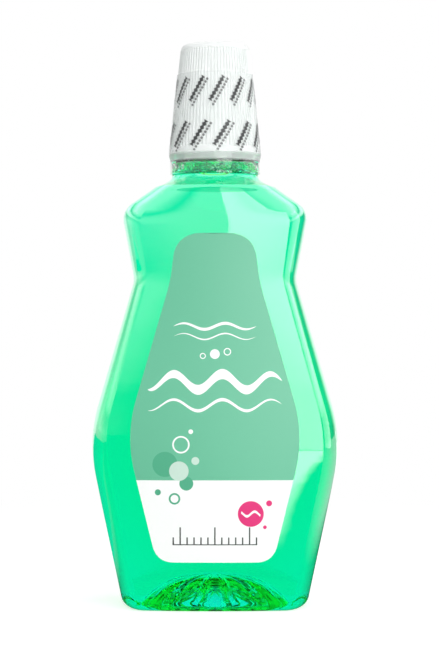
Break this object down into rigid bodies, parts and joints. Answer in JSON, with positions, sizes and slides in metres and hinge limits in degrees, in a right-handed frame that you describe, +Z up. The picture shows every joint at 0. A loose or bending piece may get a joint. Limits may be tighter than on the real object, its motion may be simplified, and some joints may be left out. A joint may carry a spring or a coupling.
{
  "type": "mouthwash bottle",
  "caption": "Waisted clear bottle filled with green mouthwash, with a die-cut front label, a ribbed white screw-on dosing cap and a clear seal band.",
  "frame": {"origin": "centre of the foot, on the table", "axes": "+Z up along the cap's axis, -Y out of the labelled front, +X to the right seen from the front"},
  "size_m": [0.1096, 0.073, 0.25],
  "materials": {
    "clear_pet": "gloss",
    "green_liquid": "gloss",
    "label_film": "satin",
    "foam": "matte",
    "white_plastic": "satin",
    "shrink_film": "gloss"
  },
  "bodies": {
    "container": {"bottle": "clear_pet", "mouthwash": "green_liquid", "front_label": "label_film"},
    "washer": {"seal_ring": "foam"},
    "band": {"seal_band": "shrink_film"},
    "closure": {"cap": "white_plastic"}
  },
  "joints": [
    {"name": "closure_lift", "type": "slide", "parent": "container", "child": "washer", "axis": [0, 0, 1], "range_m": [0, 0.05]},
    {"name": "cap_rise", "type": "slide", "parent": "washer", "child": "band", "axis": [0, 0, 1], "range_m": [0, 0.00635]},
    {"name": "cap_turn", "type": "hinge", "parent": "band", "child": "closure", "pos_m": [0, 0, 0.2005], "axis": [0, 0, 1], "range_deg": [0, 540]}
  ],
  "couplings": [
    {"joint": "cap_rise", "follows": "cap_turn", "m_per_rad": 0.00067322}
  ]
}
